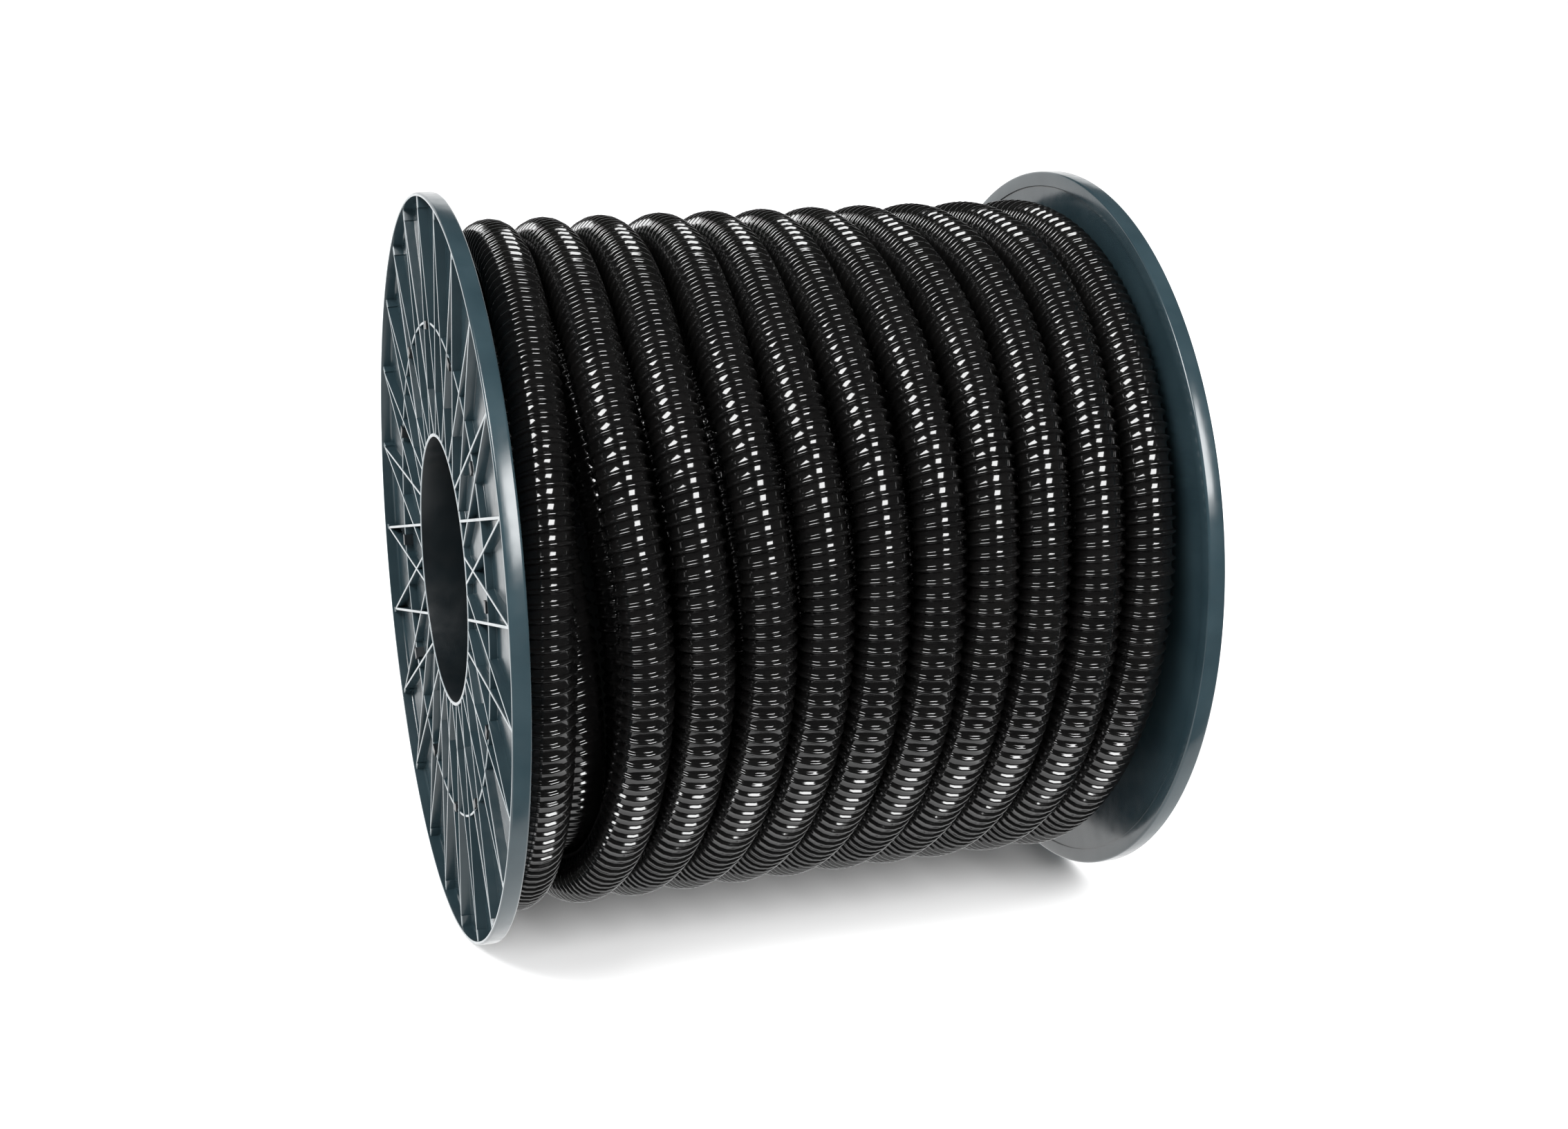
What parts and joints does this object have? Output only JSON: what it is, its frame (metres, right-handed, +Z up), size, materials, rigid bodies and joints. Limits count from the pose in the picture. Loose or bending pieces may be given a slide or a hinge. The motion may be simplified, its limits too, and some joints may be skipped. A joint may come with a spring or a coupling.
{
  "type": "reel of vacuum hose",
  "caption": "Corrugated pool vacuum hose wound in two layers on a moulded plastic reel with two ribbed round flanges, a hollow barrel and an open spindle bore.",
  "frame": {"origin": "on the floor midway between the flanges, under the reel's axle line; the reel stands on both rims", "axes": "+X along the axle line towards the flange that the hose's outer end lies against, +Z up"},
  "size_m": [0.545, 0.6, 0.6],
  "materials": {
    "reel_plastic": "semi-gloss moulded polypropylene, dark slate blue-grey",
    "hose": "glossy black flexible hose wall with a raised spiral rib",
    "tie_nylon": "satin black nylon"
  },
  "bodies": {
    "root": {"flange_left": "reel_plastic", "flange_right": "reel_plastic", "barrel_stave_1": "reel_plastic", "barrel_stave_2": "reel_plastic", "barrel_stave_3": "reel_plastic", "barrel_stave_4": "reel_plastic", "barrel_stave_5": "reel_plastic", "barrel_stave_6": "reel_plastic", "hose_inner_layer": "hose", "hose_outer_layer": "hose", "inner_end_tie": "tie_nylon", "outer_end_tie_1": "tie_nylon", "outer_end_tie_2": "tie_nylon"}
  },
  "joints": []
}
